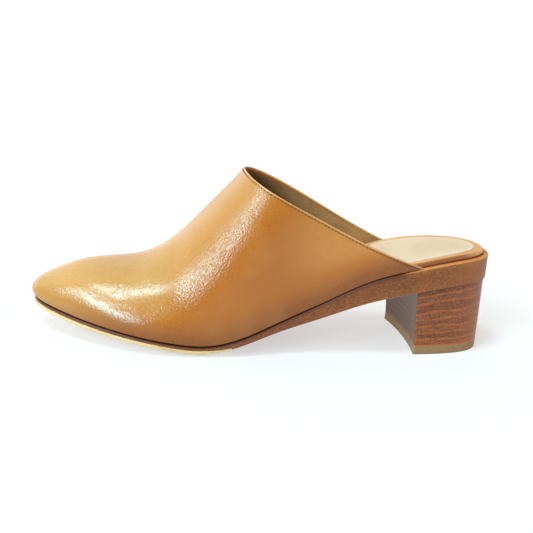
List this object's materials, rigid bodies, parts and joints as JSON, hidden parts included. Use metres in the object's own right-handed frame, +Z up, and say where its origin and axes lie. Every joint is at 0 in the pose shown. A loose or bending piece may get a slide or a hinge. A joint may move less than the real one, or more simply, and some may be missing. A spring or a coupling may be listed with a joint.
{
  "type": "heeled mule shoe",
  "caption": "Woman's heeled mule for the left foot: closed almond toe, open back, one-piece leather upper, thin forefoot sole and stacked block heel.",
  "frame": {"origin": "on the ground under the middle of the heel, at the underside of the top piece", "axes": "+X backwards along the foot, so the toe points to -X; +Y to the big-toe side; +Z up from the ground the shoe stands on"},
  "size_m": [0.2535, 0.0784, 0.0922],
  "materials": {
    "calf_leather": "smooth tan calf, semi-gloss",
    "insole_cover": "tan leather wrapped over the board",
    "sock_leather": "cream lining leather, satin",
    "sole_leather": "dressed brown edge, fine speckle",
    "outsole_rubber": "pale cream, matt",
    "stacked_leather": "stacked lifts, dressed brown edge",
    "top_piece_rubber": "olive beige, matt"
  },
  "bodies": {
    "root": {"upper": "calf_leather", "insole": "insole_cover", "sock": "sock_leather", "midsole": "sole_leather", "outsole": "outsole_rubber", "heel": "stacked_leather", "top_piece": "top_piece_rubber"}
  },
  "joints": []
}
